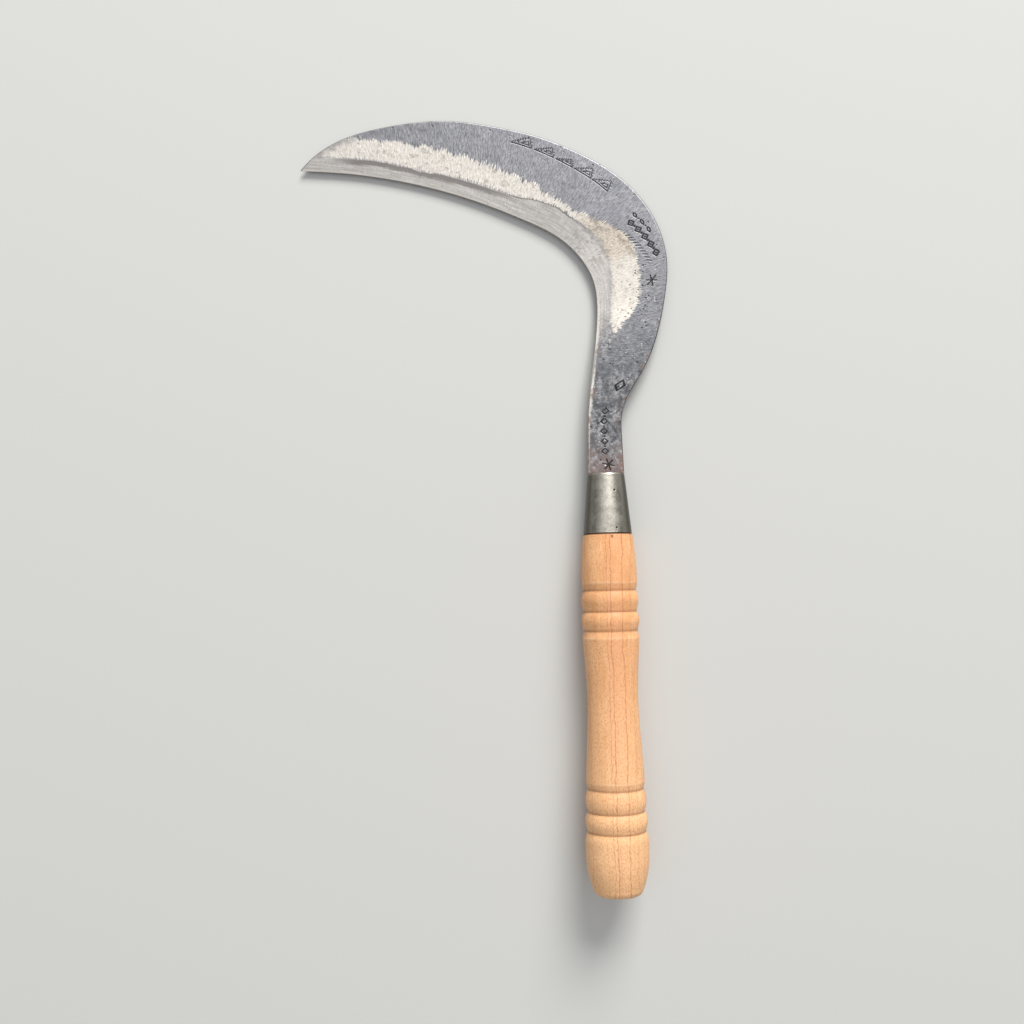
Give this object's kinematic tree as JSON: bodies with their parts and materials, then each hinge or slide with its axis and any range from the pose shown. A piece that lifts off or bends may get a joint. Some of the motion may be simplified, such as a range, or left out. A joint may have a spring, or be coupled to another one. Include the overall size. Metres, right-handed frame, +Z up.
{
  "type": "hand sickle",
  "caption": "Hand sickle with a curved forged blade ground on one side, a tapered steel ferrule and a turned wooden handle with beads.",
  "frame": {"origin": "centre of the underside of the tool's box as it lies on the ground", "axes": "+Z up from the ground, +Y along the handle from the butt to the blade, +X from the blade's point to its back"},
  "size_m": [0.2108, 0.4414, 0.0421],
  "materials": {
    "forged_steel": "forged and ground by hand, scratched across, duller towards the neck",
    "ferrule_steel": "dull rolled steel",
    "handle_wood": "turned and sanded pale hardwood, thinly oiled"
  },
  "bodies": {
    "root": {"blade": "forged_steel", "ferrule": "ferrule_steel", "handle": "handle_wood"}
  },
  "joints": []
}
